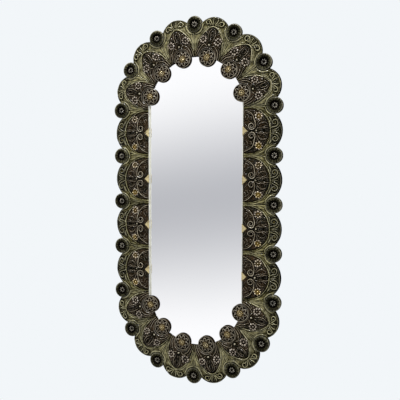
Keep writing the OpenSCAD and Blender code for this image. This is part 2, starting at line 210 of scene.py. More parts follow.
class Relief:
    """Clay over a patch of a tile: the height t at each point, and masks for the glaze.

    seed gives each tile its own small irregularities, as pieces modelled by hand have."""

    def __init__(self, points, seed):
        self.p = points
        self.chance = np.random.default_rng(seed)
        self.h = np.full(len(points), SLAB_TOP)
        self.masks = {name: np.zeros(len(points)) for name in MASKS}

        # Lines are drawn on slightly wavy ground: a long wave and a short one, by how much and how long
        self.drawn = points.copy()
        for amount, length in ((1.2, 75.0), (0.6, 27.0)):
            for axis in (0, 1):
                turn, start = self.chance.uniform(0, 2 * math.pi, 2)
                along = points[:, 0] * math.cos(turn) + points[:, 1] * math.sin(turn)
                self.drawn[:, axis] += amount * np.sin(along * 2 * math.pi / length + start)

    def mark(self, mask, value, at=slice(None)):
        self.masks[mask][at] = np.maximum(self.masks[mask][at], value)

    def stroke(self, line, half, rise, taper=(1.0, 1.0), groove=0.8, rib=0.0, light=0.6, mask=None):
        """Lays a round strand on the clay, with a groove pressed in beside it.

        half and rise are at the strand's thickest place. taper is the share of them left at each end."""
        reach = half + 4
        low, high = line.min(0) - reach, line.max(0) + reach
        at = np.flatnonzero(((self.drawn >= low) & (self.drawn <= high)).all(1))
        if not len(at):
            return
        d, s = near_line(self.drawn[at], line)
        rise *= self.chance.uniform(0.8, 1.15)
        end = np.where(s < 0.5, *taper)
        size = end + (1 - end) * np.sin(np.pi * s)
        wide = half * np.maximum(size, 0.05)
        on = round_top(d, wide)
        lift = rise * np.sqrt(np.maximum(size, 0)) * on
        if rib:
            lift -= rib * np.exp(-(d / (0.22 * half)) ** 2) * (on > 0)
        self.h[at] -= groove * np.exp(-((d - wide) / 1.1) ** 2) * (d > 0.6 * wide)
        self.h[at] += lift
        self.mark("light", light * on ** 2, at)
        if mask:
            self.mark(mask, on > 0.25, at)

    def both(self, line, *values, **more):
        """A strand and its mirror image."""
        self.stroke(line, *values, **more)
        self.stroke(flipped(line), *values, **more)

    def strands(self, *rows):
        """Pairs of strands. A row is a line, half, rise, taper, groove and light, and rib if it has one."""
        for line, half, rise, taper, groove, light, *rib in rows:
            self.both(line, half, rise, taper, groove, *rib, light=light)

    def bead(self, centre, radius, rise, mask=None, light=0.7, groove=0.9):
        d = np.hypot(*(self.drawn - centre).T)
        on = round_top(d, radius)
        self.h -= groove * np.exp(-((d - radius) / 0.9) ** 2) * (d > 0.6 * radius)
        self.h += rise * on
        self.mark("light", light * on ** 2)
        if mask:
            self.mark(mask, on > 0.2)

    def pit(self, centre, radius, depth):
        d = np.hypot(*(self.drawn - centre).T)
        self.h -= depth * np.exp(-(d / radius) ** 2)

    def pits(self, *rows):
        """Pairs of pits. A row is a place, a radius and a depth."""
        for side in (-1, 1):
            for (u, v), radius, depth in rows:
                self.pit((side * u, v), radius, depth)

    def tooling(self, where, depth):
        """Irregular small hollows, as left by a modelling tool."""
        u, v = self.p[:, 0], self.p[:, 1]
        a, b, c, d = self.chance.uniform(0, 2 * math.pi, 4)
        small = np.sin(0.95 * u + 1.7 * np.sin(0.31 * v + a))
        small *= np.sin(0.82 * v + 1.9 * np.sin(0.27 * u + b))
        slanted = np.sin(0.55 * u - 0.47 * v + 1.2 * np.sin(0.2 * v + c))
        self.h += depth * where * (small + 0.7 * slanted * np.sin(0.5 * v + 0.38 * u + d))

    def curls(self, count, low, high):
        """Small curls of clay scattered between two corners, and between their mirror images."""
        for _ in range(count):
            u, v = self.chance.uniform(low, high)
            u *= self.chance.choice((-1, 1))
            start = self.chance.uniform(0, 360)
            radius = self.chance.uniform(2.0, 4.4)
            line = arc((u, v), radius, start, start + self.chance.uniform(110, 250), 9)
            self.stroke(line, self.chance.uniform(1.3, 2.1), 2.0, taper=(0.3, 0.3), groove=1.5,
                        light=self.chance.uniform(0.2, 0.85))

    def flower(self, centre, radius, turn, amber):
        """Eight round petals about a boss, in a shallow dish.

        amber is the share of amber glaze in its middle."""
        d = np.hypot(*(self.p - centre).T)
        self.h -= 1.6 * (1 - smooth(d, radius, radius + 3))
        turn += self.chance.uniform(-12, 12)
        for i in range(8):
            a = math.radians(turn + 45 * i + self.chance.uniform(-5, 5))
            out = radius * self.chance.uniform(0.68, 0.77)
            at = (centre[0] + out * math.cos(a), centre[1] + out * math.sin(a))
            self.bead(at, radius * self.chance.uniform(0.23, 0.3), 4.4, mask="bloom",
                      light=self.chance.uniform(0.4, 1.0), groove=2.0)
        self.bead(centre, 0.2 * radius, 3.0, mask="bloom", groove=2.6)
        self.mark("lustre", amber * (1 - smooth(d, 0.5 * radius, 0.85 * radius)))

    def edge(self, outline, radius):
        """Rounds the rim of the tile off."""
        near = np.clip(radius - np.abs(beyond(self.p, outline)), 0, radius)
        self.h -= radius - np.sqrt(radius * radius - near * near)


def blurred(grid, sigma):
    """Gaussian blur of a grid of numbers, edges held."""
    reach = int(3 * sigma) + 1
    k = np.exp(-0.5 * (np.arange(-reach, reach + 1) / sigma) ** 2)
    k /= k.sum()
    out = np.pad(grid, reach, mode="edge")
    out = sum(w * out[i:i + grid.shape[0], :] for i, w in enumerate(k))
    return sum(w * out[:, i:i + grid.shape[1]] for i, w in enumerate(k))


def hollows(points, shape, low, high):
    """How far each point stands above (1) or lies below (-1) the clay around it."""
    margin, step, near, far = 6, 1.2, 2.0, 5.0
    us = np.arange(low[0] - margin, high[0] + margin, step)
    vs = np.arange(low[1] - margin, high[1] + margin, step)
    uu, vv = np.meshgrid(us, vs, indexing="ij")
    grid = shape(np.stack([uu.ravel(), vv.ravel()], 1)).h.reshape(uu.shape)
    fine = grid - blurred(grid, near / step)
    broad = grid - blurred(grid, far / step)
    level = np.clip(fine / 0.9 + 0.35 * broad / 1.6, -1, 1)
    fu = (points[:, 0] - us[0]) / step
    fv = (points[:, 1] - vs[0]) / step
    i = np.clip(fu.astype(int), 0, len(us) - 2)
    j = np.clip(fv.astype(int), 0, len(vs) - 2)
    a, b = fu - i, fv - j
    return ((1 - a) * (1 - b) * level[i, j] + a * (1 - b) * level[i + 1, j]
            + (1 - a) * b * level[i, j + 1] + a * b * level[i + 1, j + 1])


def make_mesh(name, verts, faces, masks):
    """verts are in millimetres, and masks give a number for each of them."""
    mesh = bpy.data.meshes.new(name)
    mesh.from_pydata((verts * MM).tolist(), [], faces)
    mesh.shade_smooth()
    for key, values in masks.items():
        layer = mesh.attributes.new(key, "FLOAT", "POINT")
        layer.data.foreach_set("value", np.asarray(values, dtype=np.float32))
    return mesh


class TileGrid:
    """Points and faces over a tile's outline, shared by all tiles of its kind.

    lines are drawn into the grid, so that a steep step between two of them stays clean."""

    def __init__(self, outline, lines=()):
        outline = resample(outline, SPACING)
        self.count = len(outline)
        inward = leftward(np.roll(outline, -1, axis=0) - np.roll(outline, 1, axis=0))
        rings = [outline]
        for depth in RIM_RINGS:
            ring = outline + inward * depth
            rings.append(ring[beyond(ring, outline) < -0.9 * depth])
        self.low, self.high = outline.min(0), outline.max(0)
        grid = []
        for k, v in enumerate(np.arange(self.low[1], self.high[1], SPACING * 0.866)):
            us = np.arange(self.low[0] + (k % 2) * SPACING / 2, self.high[0], SPACING)
            grid.append(np.stack([us, np.full_like(us, v)], 1))
        grid = np.concatenate(grid)
        grid = grid[beyond(grid, outline) < -RIM_RINGS[-1] - 0.6 * SPACING]
        for line in lines:
            grid = grid[near_line(grid, line)[0] > 0.4 * SPACING]
            for k, ring in enumerate(rings[1:], 1):
                rings[k] = ring[near_line(ring, line)[0] > 0.3]
        drawn = [line[beyond(line, outline) < -0.3] for line in lines]
        points = np.vstack(rings + drawn + [grid])
        made = delaunay_2d_cdt([Vector(p) for p in points], [], [list(range(self.count))], 1, 1e-5)
        self.flat = np.array([[v.x, v.y] for v in made[0]])
        self.faces = [list(f) for f in made[2]]
        origin = {old: new for new, olds in enumerate(made[3]) for old in olds}
        self.border = [origin[i] for i in range(self.count)]

    def mesh(self, name, shape):
        """A glazed tile: relief on top, glazed edges down to the board, and a flat back."""
        clay = shape(self.flat)
        level = hollows(self.flat, shape, self.low, self.high)
        top, count, border = len(self.flat), self.count, self.border
        lower = np.column_stack([self.flat[border], np.full(count, BOARD_T)])
        verts = np.vstack([np.column_stack([self.flat, clay.h]), lower])
        walls = [[top + i, top + (i + 1) % count, border[(i + 1) % count], border[i]] for i in range(count)]
        back = [top + i for i in range(count)][::-1]
        masks = {key: np.concatenate([value, value[border]]) for key, value in clay.masks.items()}
        masks["level"] = np.concatenate([level, np.zeros(count)])
        return make_mesh(name, verts, self.faces + walls + [back], masks)


# Outlines of the tiles, anticlockwise

def lobed_edge(ear, ear_start, lobe_r, reach):
    """The outer edge from the joint to the crest: round the ear under the rosette, then along the lobe."""
    lobe = (0.0, reach - lobe_r)
    corner = meet(lobe, lobe_r, ear, EAR_R)
    ear_arc = arc(ear, EAR_R, ear_start, angle_of(ear, corner), 20)
    return np.vstack([ear_arc, arc(lobe, lobe_r, angle_of(lobe, corner), 90, 40)[1:]])


def side_outline():
    half = (PITCH - JOINT_GAP) / 2
    ear_top = RING_OFFSET + math.sqrt(EAR_R ** 2 - (JOINT_GAP / 2) ** 2)
    edge = lobed_edge(SIDE_EAR, angle_of(SIDE_EAR, (half, ear_top)), SIDE_LOBE_R, SIDE_REACH)
    right = np.vstack([[[NOTCH_HALF, 0], [half, 0]], edge[:-1]])
    return np.vstack([[[0, NOTCH_DEPTH]], right, [[0, SIDE_REACH]], flipped(right)])


def end_outline():
    half_gap = JOINT_GAP / 2 / math.cos(HALF_WEDGE)
    low = SIGHT * (math.cos(HALF_WEDGE) - 1)
    low_half = (SIGHT + low) * math.tan(HALF_WEDGE) - half_gap
    crest = SIGHT / math.cos(HALF_WEDGE) - SIGHT
    edge = lobed_edge(END_EAR, 90 - math.degrees(HALF_WEDGE) + 1, END_LOBE_R, END_REACH)
    right = np.vstack([[[low_half, low]], edge[:-1]])
    return np.vstack([[[0, crest]], right, [[0, END_REACH]], flipped(right)])


def petal_line():
    """The petal, from its right foot over the tip to its left foot."""
    tip_v = PETAL_TOP - PETAL_TIP_R
    climb = tip_v - PETAL_WIDE_V
    narrow = PETAL_HALF - PETAL_TIP_R
    back = (climb ** 2 - narrow ** 2) / (2 * narrow)
    flank_r = PETAL_HALF + back
    tip_angle = math.degrees(math.atan2(climb, back))
    foot = math.degrees(math.asin((-12 - PETAL_WIDE_V) / flank_r))
    flank = arc((-back, PETAL_WIDE_V), flank_r, foot, tip_angle, 30)
    tip = arc((0, tip_v), PETAL_TIP_R, tip_angle, 90, 10)
    right = np.vstack([flank, tip[1:]])
    return np.vstack([right, flipped(right)[1:]])


def petal_rim(inset):
    """The petal's line, moved in by inset."""
    line = petal_line()
    return line + leftward(np.gradient(line, axis=0)) * inset


# Relief of the tiles

def side_relief(points, seed, amber):
    """amber holds the shares of amber glaze in the two flowers. The one with more is the lower one."""
    clay = Relief(points, seed)
    u, v = points[:, 0], points[:, 1]
    lean = np.abs(u)
    low = -1 if amber[0] > amber[1] else 1
    from_arch = np.hypot(u, v - ARCH_V) - ARCH_R
    in_field = 1 - smooth(from_arch, -1.5, 0.5)
    dome = DOME_TOP - DOME_R + np.sqrt(DOME_R ** 2 - u ** 2 - (v - 30) ** 2)
    clay.h += (dome - SLAB_TOP - 1.2) * in_field
    clay.masks["field"] = 1 - smooth(from_arch, -5.0, -2.5)
    stem = np.exp(-(u / 15) ** 2) * smooth(v, 18, 30)
    beside = 0.9 * np.exp(-((lean - 21) / 16) ** 2 - ((v - 37) / 17) ** 2)
    clay.masks["core"] = np.clip(stem + beside, 0, 1) * in_field
    clay.tooling(in_field, 0.6)
    clay.tooling((1 - in_field) * smooth(v, 100, 118), 0.6)
    clay.tooling((1 - in_field) * (1 - smooth(v, 100, 118)), 0.1)

    # The spandrels swell towards the joints, with blades running down from each rosette
    spandrel = (1 - in_field) * (1 - smooth(v, 118, 132))
    clay.h += 2.4 * spandrel * smooth(from_arch, 0, 9) * smooth(v, 10, 60)
    clay.strands(
        (curve((98.2, 6), (97.8, 50), (95, 90)), 1.8, 1.6, (0.5, 0.3), 0.4, 0.8),
        (curve((92, 52), (88, 76), (80, 98)), 4.6, 1.6, (0.1, 0.4), 0.0, 0.3),
        (arc(SIDE_EAR, ROSETTE_R + 4.5, 172, 264, 20), 3.6, 3.6, (0.3, 0.5), 0.5, 0.55),
    )

    puff = smooth(SIDE_LOBE_R - np.hypot(u, v - SIDE_REACH + SIDE_LOBE_R), 1, 17) * smooth(from_arch, 0, 12)
    clay.h += 2.0 * puff * smooth(v, 95, 118)
    clay.h -= 2.4 * np.exp(-((from_arch + 5.5) / 3.2) ** 2)

    # Rim of the arch: a thin lip of pale glaze, with painted highlight on its upper side, and a dark
    # channel inside it
    lip = arc((0, ARCH_V), ARCH_R + 0.4, -6, 186, 90)
    clay.stroke(lip, 1.7, 3.2, (0.15, 0.15), 0.5, light=0.7, mask="lip")
    # Painted highlight: the lip's pale glaze is kept mostly to the tile's upper side, as if lit from above
    clay.masks["lip"] *= 0.1 + 0.7 * smooth(u * -low, -10, 45) * smooth(v, 10, 40)
    clay.stroke(arc((0, ARCH_V), ARCH_R - 6.5, -8, 188, 90), 1.3, 0.9, groove=1.2, light=0.25)

    # Curls and flutes in the corners by the joints
    tail = (36, 5)
    clay.strands(
        (arc(tail, 40, 2, 50, 16), 2.4, 2.2, (0.5, 0.15), 1.8, 0.55),
        (arc(tail, 31, 0, 46, 16), 2.6, 2.4, (0.5, 0.15), 1.8, 0.5),
        (arc((50, 33), 6.0, -60, 230, 18), 2.3, 2.8, (0.3, 0.7), 1.9, 0.6),
        (curve((38, 8), (46, 19), (60, 24)), 2.8, 2.4, (0.2, 0.2), 1.9, 0.55),
        (curve((46, 4), (56, 11), (65, 10)), 2.6, 2.2, (0.3, 0.2), 1.9, 0.5),
    )
    clay.pits(((42, 36), 4.5, 2.4), ((46, 6), 4.5, 1.8), ((60, 32), 4.0, 1.8))

    # Volutes: a thick strand rises from each joint, sweeps in over the corner and winds down to its end
    sweep = curve((85.5, 2), (80, 19), (72, 32), (61, 42.5), (48, 48.5), (36, 51.5), (28, 52.5))
    wind = np.vstack([sweep, spiral((20, 37.5), 74, 600, 15.8, 4.0, 76)])
    clay.both(wind, 2.9, 4.8, (0.6, 0.5), 2.8, light=1.0)
    for side, share in zip((-1, 1), amber):
        clay.pit((side * 20, 37.5), 11, 2.6)
        clay.flower((side * 60, 66.5), 18.0, 8, share)
    clay.bead((low * 58, 50.5), 2.6, 4.6, light=1.0, mask="pearl")

    # A bright bead, and a tuft of strands and curls above it
    clay.bead((0, 56.5), 3.2, 4.6, light=1.0, mask="pearl")
    clay.strands(
        (curve((4, 50), (9, 59), (12, 68), (11, 80), (16, 92), (22, 104)), 3.2, 3.2, (0.3, 0.2), 2.2, 0.6),
        (curve((3, 64), (7, 78), (9, 90), (11, 101), (9, 113)), 2.6, 2.6, (0.3, 0.5), 2.0, 0.7),
        (curve((15, 61), (27, 69), (35, 82), (31, 96), (24, 95)), 4.0, 3.4, (0.2, 0.1), 2.2, 0.6, 2.0),
        (curve((14, 58), (27, 60), (40, 67), (43, 77), (37, 79)), 3.0, 2.6, (0.2, 0.15), 1.8, 0.35, 1.0),
        (curve((38, 84), (47, 94), (58, 92)), 2.4, 1.6, (0.2, 0.2), 1.5, 0.3),
    )
    clay.curls(17, (3, 64), (46, 104))
    clay.curls(9, (38, 6), (72, 30))
    clay.pits(((8, 71), 4.2, 2.8), ((20, 80), 4.2, 2.0), ((34, 70), 4.2, 1.8), ((27, 108), 5.0, 1.2))
    clay.pit((0, 90), 6.0, 3.0)
    clay.pit((0, 74), 3.0, 1.6)

    # Notch: its flanks have a rounded lip
    flank = np.array([[NOTCH_HALF + 1.5, 0.0], [1.2, NOTCH_DEPTH + 1.2]])
    clay.both(flank, 1.6, 1.0, groove=1.4, light=0.4)
    clay.both(curve((34, 2), (24, 14), (9, 22)), 2.0, 1.4, (0.3, 0.3), 1.2, light=0.4)

    # Palmette on the lobe: a scroll on either side of a dark stem
    ground = clay.h.copy()
    scroll = np.vstack([curve((7, 112), (11.5, 120), (15, 129)),
                        spiral((32, 133), 180, -480, 15.5, 3.4, 60)])
    clay.strands(
        (scroll, 3.4, 4.2, (0.5, 0.7), 2.0, 0.3),
        (curve((30, 118), (44, 115), (57, 107)), 4.2, 3.0, (0.2, 0.2), 1.2, 0.35),
        (curve((5, 122), (7, 136), (14, 148), (24, 153)), 2.8, 2.8, (0.4, 0.2), 1.4, 0.4),
        (curve((49, 142), (56, 132), (58, 122)), 3.0, 2.2, (0.2, 0.3), 1.2, 0.3),
    )
    clay.stroke(curve((0, 118), (0, 134), (0, 152)), 2.6, 2.0, (0.3, 0.2), 1.8, light=0.3)
    clay.pits(((19.5, 126), 3.8, 2.4), ((32, 133), 7.0, 2.0))
    for side in (-1, 1):
        clay.bead((side * 32, 133), 3.2, 2.4, mask="ochre", light=0.6)
    lobe = (0.0, SIDE_REACH - SIDE_LOBE_R)
    clay.stroke(arc(lobe, SIDE_LOBE_R - 3.5, 52, 128, 60), 2.8, 1.4, (0.5, 0.5), 1.4, light=0.0)
    in_lobe = smooth(from_arch, 1, 4) * smooth(v, 100, 114) * (1 - smooth(lean, 50, 62))
    clay.masks["dusk"] = in_lobe * (0.97 - 0.36 * smooth(clay.h - ground, 0.2, 1.4))
    clay.edge(side_outline(), 3.4)
    clay.h = np.minimum(clay.h, HIGHEST)
    return clay


def end_relief(points, seed):
    clay = Relief(points, seed)
    u, v = points[:, 0], points[:, 1]
    lean = np.abs(u)
    from_petal = beyond(points, petal_line())
    low_end = 1 - smooth(v, 8, 24)
    in_field = np.maximum((1 - smooth(from_petal, -1.5, 0.5)) * (v > -13), low_end)
    dome = DOME_TOP - DOME_R + np.sqrt(DOME_R ** 2 - u ** 2 - (v - 60) ** 2)
    clay.h += (dome - SLAB_TOP - 1.0) * in_field
    in_petal = (1 - smooth(from_petal, -5.0, -2.5)) * (v > -13)
    clay.masks["field"] = np.maximum(in_petal, 0.75 * (1 - smooth(v, 14, 34)))
    clay.masks["core"] = np.exp(-(u / 15) ** 2) * in_field
    clay.tooling(in_field, 0.5)
    clay.tooling((1 - in_field) * smooth(v, 108, 124), 0.5)
    clay.tooling((1 - in_field) * (1 - smooth(v, 108, 124)), 0.1)

    spandrel = (1 - in_field) * (1 - smooth(v, 112, 128))
    clay.h += 2.2 * spandrel * smooth(from_petal, 0, 8) * smooth(v, 10, 60)

    def by_joint(v, gap):
        return (SIGHT + v) * math.tan(HALF_WEDGE) - gap, v

    blade = curve(by_joint(-4, 3.0), by_joint(20, 2.6), by_joint(50, 2.0), by_joint(86, 3.0))
    fold = curve(by_joint(40, 6), by_joint(60, 9), by_joint(86, 15))
    clay.strands(
        (blade, 2.0, 1.8, (0.4, 0.6), 0.4, 0.7),
        (fold, 4.6, 1.6, (0.1, 0.4), 0.0, 0.3),
        (arc(END_EAR, ROSETTE_R + 4.5, 158, 250, 20), 3.6, 3.6, (0.4, 0.5), 0.5, 0.55),
    )

    puff = smooth(END_LOBE_R - np.hypot(u, v - END_REACH + END_LOBE_R), 1, 15) * smooth(from_petal, 0, 9)
    clay.h += 2.4 * puff * smooth(v, 100, 124)
    clay.h -= 2.4 * np.exp(-((from_petal + 5.5) / 3.2) ** 2) * smooth(v, 16, 30)

    # Rim of the petal: a thin bright lip, with a dark channel inside it
    rim = petal_rim(-0.6)
    clay.stroke(rim[rim[:, 1] > 12], 1.6, 3.2, (0.35, 0.35), 0.7, light=1.0, mask="lip")
    clay.mark("lip", 0.16 * spandrel * smooth(v, 10, 40))
    inner = petal_rim(6.0)
    clay.stroke(inner[inner[:, 1] > 30], 1.3, 0.9, (0.3, 0.3), 1.1, light=0.25)

    # Flowers and a pearl between them
    for side in (-1, 1):
        clay.flower((side * 33.5, 67), 18, 22, 0.0)
    clay.bead((0, 50), 3.6, 4.2, light=1.0, mask="pearl")

    # Column in the tip of the petal
    clay.strands(
        (curve((5, 60), (12, 72), (15, 88), (14, 104), (5, 118)), 2.8, 3.0, (0.3, 0.3), 2.0, 0.75),
        (curve((3, 78), (7, 92), (6, 104), (0, 112)), 2.3, 2.4, (0.3, 0.5), 1.8, 0.6),
        (curve((19, 89), (27, 98), (34, 93)), 2.8, 2.6, (0.2, 0.2), 1.8, 0.6),
        (curve((17, 100), (24, 106), (22, 113)), 2.2, 1.6, (0.2, 0.2), 1.4, 0.3),
    )
    clay.stroke(curve((0, 62), (0, 70), (0, 78)), 2.4, 2.0, (0.3, 0.3), 1.4, light=0.5)
    clay.curls(10, (2, 66), (24, 112))
    clay.curls(7, (26, 34), (50, 52))
    clay.pits(((8, 84), 3.4, 2.2), ((10, 66), 3.4, 1.8))
    clay.pit((0, 96), 4.0, 2.0)
    clay.pit((0, 119), 5.0, 1.6)

    # Bands that sweep round the medallion's pocket and down to the opening
    clay.stroke(arc(SEAT, 40.0, 14, 166, 60), 1.7, 1.6, groove=1.8, light=0.6)
    clay.strands(
        (curve((45, -8), (44, 12), (39, 30), (29, 43), (21, 52)), 2.6, 3.0, (0.8, 0.3), 2.2, 0.85),
        (curve((53, -8), (52, 16), (47, 34), (38, 47)), 2.4, 2.6, (0.8, 0.2), 2.0, 0.65),
        (curve((59.5, 12), (57, 28), (51, 46)), 1.8, 1.6, (0.4, 0.2), 1.5, 0.4),
        (curve((7, 41), (16, 47), (27, 52)), 2.4, 2.6, (0.3, 0.3), 1.8, 0.8),
        (curve((60, -10), (61.5, 4), (62, 18)), 2.0, 1.6, (0.6, 0.3), 1.2, 0.5),
    )
    clay.pits(((36, 35), 4.0, 1.6))

    # Palmette on the lobe: strands fan out from the tip of the petal, and curl over dark eyes
    ground = clay.h.copy()
    scroll = np.vstack([curve((4, 129.5), (12, 136), (19, 144)),
                        spiral((30, 138), 145, -420, 12.0, 4.2, 40)])
    clay.strands(
        (curve((2, 131), (7, 139), (10.5, 149), (10, 159)), 2.8, 3.4, (0.5, 0.3), 1.4, 0.75),
        (scroll, 2.8, 3.6, (0.6, 0.5), 1.4, 0.8),
        (curve((13, 131), (22, 134), (29, 130)), 2.8, 2.4, (0.4, 0.3), 1.2, 0.6),
        (curve((46, 96), (30, 117), (10, 129)), 2.3, 2.0, (0.15, 0.7), 1.2, 0.7),
        (curve((47, 112), (49, 124), (46, 136)), 2.4, 1.9, (0.2, 0.3), 1.1, 0.6),
        (curve((21, 156), (32, 153), (40, 147)), 2.2, 1.7, (0.2, 0.2), 1.1, 0.5),
    )
    clay.pits(((30, 139), 5.5, 2.6), ((12, 144), 2.6, 1.4))
    clay.stroke(curve((0, 132), (0, 144), (0, 156)), 2.0, 1.6, (0.3, 0.3), 1.8, light=0.3)
    lobe = (0.0, END_REACH - END_LOBE_R)
    clay.stroke(arc(lobe, END_LOBE_R - 3.0, 38, 142, 60), 2.2, 1.4, (0.5, 0.5), 1.0, light=0.35)
    in_lobe = smooth(from_petal, 2, 5) * smooth(v, 118, 132) * (1 - smooth(lean, 44, 56))
    clay.masks["dusk"] = in_lobe * (0.85 - 0.5 * smooth(clay.h - ground, 0.2, 1.4))
    clay.edge(end_outline(), 3.0)
    clay.h = np.minimum(clay.h, HIGHEST)
    to_seat = np.hypot(*(points - SEAT).T)
    clay.h[to_seat < MEDALLION_R + POCKET_GAP + 0.05] = SEAT_TOP - 0.1
    return clay


# Turned pieces: a height over rings of points, closed down to a flat back

def turned_mesh(name, radii, steps, shape, back_t):
    """shape takes radii and angles and gives heights and masks. A mask that it leaves out is 0."""
    angles = np.linspace(0, 2 * math.pi, steps, endpoint=False)
    r, a = (grid.ravel() for grid in np.meshgrid(radii, angles, indexing="ij"))
    heights, masks = shape(r, a)
    middle_h, middle_masks = shape(np.zeros(1), np.zeros(1))
    rings = np.stack([r * np.cos(a), r * np.sin(a), heights], 1)
    edge = np.stack([radii[-1] * np.cos(angles), radii[-1] * np.sin(angles), np.full(steps, back_t)], 1)
    verts = np.vstack([rings, [[0, 0, middle_h[0]]], edge])
    middle = len(rings)
    base = middle + 1
    faces = [[middle, i, (i + 1) % steps] for i in range(steps)]
    starts = [*range(0, middle, steps), base]
    for p, q in zip(starts, starts[1:]):
        faces += [[p + i, q + i, q + (i + 1) % steps, p + (i + 1) % steps] for i in range(steps)]
    faces.append([base + i for i in range(steps)][::-1])
    full = {key: np.zeros(len(verts)) for key in MASKS + ("dusk", "level")}
    for key, values in masks.items():
        at_edge = values[-steps:] * (0 if key == "level" else 1)
        full[key] = np.concatenate([values, middle_masks[key], at_edge])
    return make_mesh(name, verts, faces, full)


def each_part(a, count):
    """The angle from the middle of the nearest of count equal parts of a turn, as a share of a part."""
    return np.mod(a * count / (2 * math.pi) + 0.5, 1) - 0.5


def rosette_shape(r, a):
    """A rounded rim, notched like rope, whose inner edge runs down in tongues into a cup with a flower."""
    petals, tongues = 8, 16
    floor = SLAB_TOP + 3
    crown = SLAB_TOP + ROSETTE_H
    rim_mid = (ROSETTE_R + CUP_R) / 2
    half = (ROSETTE_R - CUP_R) / 2
    rim = crown - 5.4 + 5.4 * round_top(r - rim_mid, half * 1.02)
    on_rim = smooth(r, CUP_R + 1, CUP_R + 4) * (1 - smooth(r, ROSETTE_R - 4, ROSETTE_R - 1.5))
    notch = np.exp(-(each_part(a, tongues) / 0.17) ** 2) * (0.6 + 0.4 * np.sin(3 * a + 1))
    rim -= 1.5 * on_rim * notch
    tongue = 0.5 + 0.5 * np.cos(a * tongues + 0.6 * np.sin(a * 3))
    brink = CUP_R + 2.2 - 3.2 * tongue
    bowl = floor + 3.4 * smooth(r - brink, 0, 2.4) * tongue
    h = np.where(r < CUP_R, bowl, rim)
    across = each_part(a, petals) * 2 * math.pi / petals * r
    reach = 5.0 + 1.0 * np.sin(3 * a + 0.5)
    petal = np.sqrt(np.clip(1 - ((r - 8.6) / reach) ** 2 - (across / 2.5) ** 2, 0, 1))
    boss = round_top(r, 2.2)
    h += 3.8 * petal + 1.6 * boss

    outer_line = np.exp(-((r - ROSETTE_R + 2.2) / 2.0) ** 2)
    inner_line = np.exp(-((r - CUP_R - 1.6) / 1.3) ** 2)
    on_tongue = smooth(r - brink, 0, 2.0) * tongue
    gap = (r < CUP_R + 0.6) * (1 - petal) * (1 - boss) * (1 - on_tongue)
    foot = (1 - smooth(r, CUP_R, CUP_R + 3.2)) * (r > CUP_R) * (1 - tongue)
    level = (0.9 * petal + 0.1 * boss + 0.1 * on_tongue * (r < CUP_R) - 1.2 * gap + 0.55 * outer_line
             + 0.2 * inner_line + on_rim * (0.15 - 1.3 * notch) - 0.9 * foot)
    in_cup = (r < CUP_R + 0.6) * 1.0
    shaded = CUP_R + 1.5 + 4.5 * (1 - tongue)
    slope = np.maximum(0.12, 0.85 * (1 - smooth(r, shaded - 2, shaded + 1))) * (r >= CUP_R + 0.6)
    # Painted highlight: the rim's outer line and the flower's petals are paler towards one side, as if lit
    # from there
    lit_side = np.cos(a - 1)
    return h, {
        "field": 1.0 - 0.8 * on_tongue,
        "core": in_cup * (1 - on_tongue),
        "bloom": (petal > 0.2) * (0.4 + 0.35 * lit_side),
        "light": np.clip(0.9 * petal ** 2 + (0.6 + 0.4 * lit_side) * outer_line + 0.35 * on_rim, 0, 1),
        "level": np.clip(level, -1, 1),
        "dusk": in_cup * (petal < 0.15) * (1 - 0.5 * on_tongue) + slope,
    }


def medallion_shape(r, a):
    """A low dome with a star, a ring and eight loops, inside a round rim."""
    loops = 8
    base = SEAT_TOP + 5
    face_r = MEDALLION_R - 4.4
    rim = base + 2.2 * round_top(r - (MEDALLION_R - 2.3), 2.3) - 0.1
    ball_r = (face_r ** 2 + 4.5 ** 2) / 9
    dome = base + 4.5 - ball_r + np.sqrt(np.maximum(ball_r ** 2 - r ** 2, 0))
    h = np.where(r > face_r - 0.3, rim, dome)

    # Each loop stands round a dish, with a deep pit between it and the next
    turn = each_part(a, loops)
    across = turn * 2 * math.pi / loops * r
    e = np.sqrt(((r - 22.2) / 8.2) ** 2 + (across / 7.6) ** 2)
    petal = np.sqrt(np.clip(1 - e ** 2, 0, 1))
    outline = np.exp(-((e - 0.82) / 0.21) ** 2)
    dish = np.exp(-(e / 0.42) ** 2)
    h += 1.8 * petal + 0.6 * outline - 1.8 * dish
    half_turn = np.mod(turn + 1, 1) - 0.5
    pit = np.exp(-((r - 27.3) / 3.0) ** 2 - (half_turn * 2 * math.pi / loops * r / 3.2) ** 2)
    h -= 2.0 * pit

    ring = 0.35 * round_top(r - 9.6, 2.0)
    boss = round_top(r, 3.4)
    rays = (0.5 + 0.5 * np.cos(a * loops + math.pi)) ** 2 * smooth(r, 9, 11) * (1 - smooth(r, 15, 19))
    star = (0.5 + 0.5 * np.cos(a * loops)) ** 2 * smooth(r, 2.6, 4.2) * (1 - smooth(r, 9.5, 12))
    h += 1.8 * ring + 2.6 * boss + 1.3 * rays + 1.6 * star
    rim_line = np.exp(-((r - MEDALLION_R + 2.1) / 1.9) ** 2)
    moat = np.exp(-((r - face_r) / 1.4) ** 2)
    level = (0.9 * outline - 0.5 * dish - 1.5 * pit - 0.7 * (e > 1.05) * (r > 15) * (r < face_r)
             + 0.55 * ring + 0.9 * boss + 0.7 * rays * (1 - outline) + 0.85 * star
             + 0.9 * rim_line - 0.9 * moat
             - 0.75 * (r < 18) * (1 - ring) * (1 - boss) * (1 - star) * (1 - rays))
    gilded = 0.25 + 0.75 * np.maximum(np.maximum(star, boss), rays)
    # Painted highlight: the rim's line is paler towards one side, as if lit from there
    rim_light = rim_line * (0.72 + 0.35 * np.cos(a - 0.9))
    return h, {
        "field": np.ones_like(r),
        "core": np.full_like(r, 0.3),
        "bloom": 0.3 * (petal > 0.2),
        "lustre": np.clip((1 - smooth(r, 7, 19)) * gilded, 0, 1),
        "light": np.clip(0.7 * outline + 0.5 * ring + boss + 0.9 * star + rim_light, 0, 1),
        "level": np.clip(level, -1, 1),
    }


# Glazes and metals

